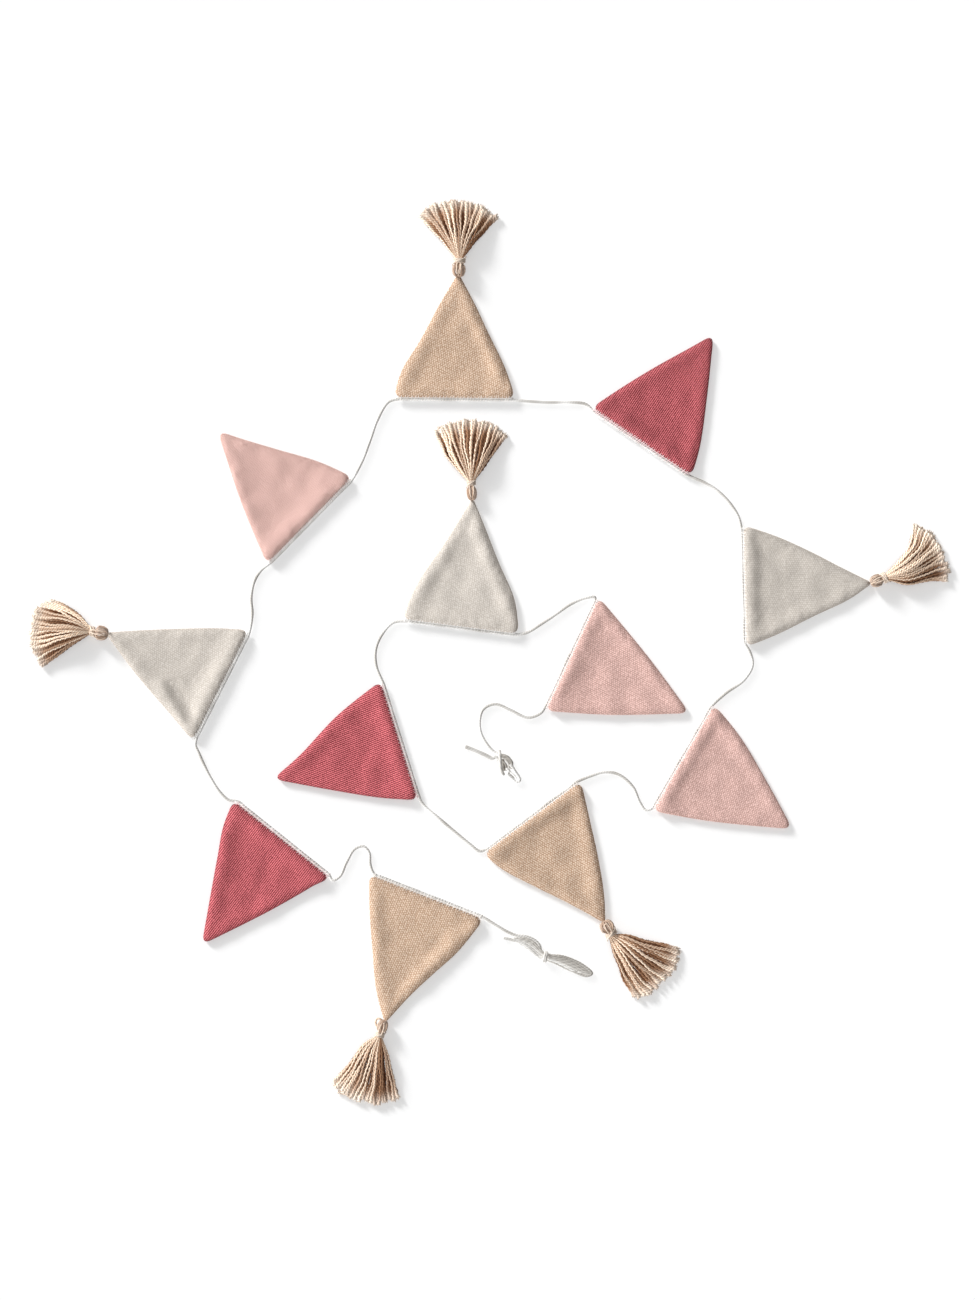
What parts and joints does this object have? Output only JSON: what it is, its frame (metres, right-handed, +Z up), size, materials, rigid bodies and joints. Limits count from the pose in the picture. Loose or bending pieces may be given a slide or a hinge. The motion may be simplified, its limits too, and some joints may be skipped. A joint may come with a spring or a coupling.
{
  "type": "fabric bunting",
  "caption": "Fabric bunting: doubled cloth pennants in four colours sewn along a twisted cord with knotted end loops, some with yarn tassels, laid out in a spiral.",
  "frame": {"origin": "on the surface that the bunting lies on, under the middle of the box round the pennants and tassels", "axes": "+Z up from the surface; +X to the right and +Y up the page as the bunting is seen from straight above"},
  "size_m": [1.0987, 1.0812, 0.0122],
  "materials": {
    "cloth_pink": "dusty pink fine twill cotton, matt",
    "cloth_cream": "cream slubby cotton canvas, matt",
    "cloth_rose": "deep rose ribbed cotton, light and dark threads",
    "cloth_tan": "tan ribbed cotton canvas, matt",
    "cord_white": "off-white two-ply twisted cotton cord",
    "tassel_yarn": "peach-tan twisted cotton yarn with pale frayed ends"
  },
  "bodies": {
    "root": {"pennant_01_front": "cloth_pink", "pennant_01_back": "cloth_pink", "pennant_02_front": "cloth_cream", "pennant_02_back": "cloth_cream", "pennant_03_front": "cloth_rose", "pennant_03_back": "cloth_rose", "pennant_04_front": "cloth_tan", "pennant_04_back": "cloth_tan", "pennant_05_front": "cloth_pink", "pennant_05_back": "cloth_pink", "pennant_06_front": "cloth_cream", "pennant_06_back": "cloth_cream", "pennant_07_front": "cloth_rose", "pennant_07_back": "cloth_rose", "pennant_08_front": "cloth_tan", "pennant_08_back": "cloth_tan", "pennant_09_front": "cloth_pink", "pennant_09_back": "cloth_pink", "pennant_10_front": "cloth_cream", "pennant_10_back": "cloth_cream", "pennant_11_front": "cloth_rose", "pennant_11_back": "cloth_rose", "pennant_12_front": "cloth_tan", "pennant_12_back": "cloth_tan", "tassel_02_head": "tassel_yarn", "tassel_02_binding": "tassel_yarn", "tassel_02_skirt": "tassel_yarn", "tassel_04_head": "tassel_yarn", "tassel_04_binding": "tassel_yarn", "tassel_04_skirt": "tassel_yarn", "tassel_06_head": "tassel_yarn", "tassel_06_binding": "tassel_yarn", "tassel_06_skirt": "tassel_yarn", "tassel_08_head": "tassel_yarn", "tassel_08_binding": "tassel_yarn", "tassel_08_skirt": "tassel_yarn", "tassel_10_head": "tassel_yarn", "tassel_10_binding": "tassel_yarn", "tassel_10_skirt": "tassel_yarn", "tassel_12_head": "tassel_yarn", "tassel_12_binding": "tassel_yarn", "tassel_12_skirt": "tassel_yarn", "cord": "cord_white", "tie_a_knot": "cord_white", "tie_a_loop": "cord_white", "tie_a_tail": "cord_white", "tie_b_knot": "cord_white", "tie_b_loop": "cord_white", "tie_b_tail": "cord_white"}
  },
  "joints": []
}
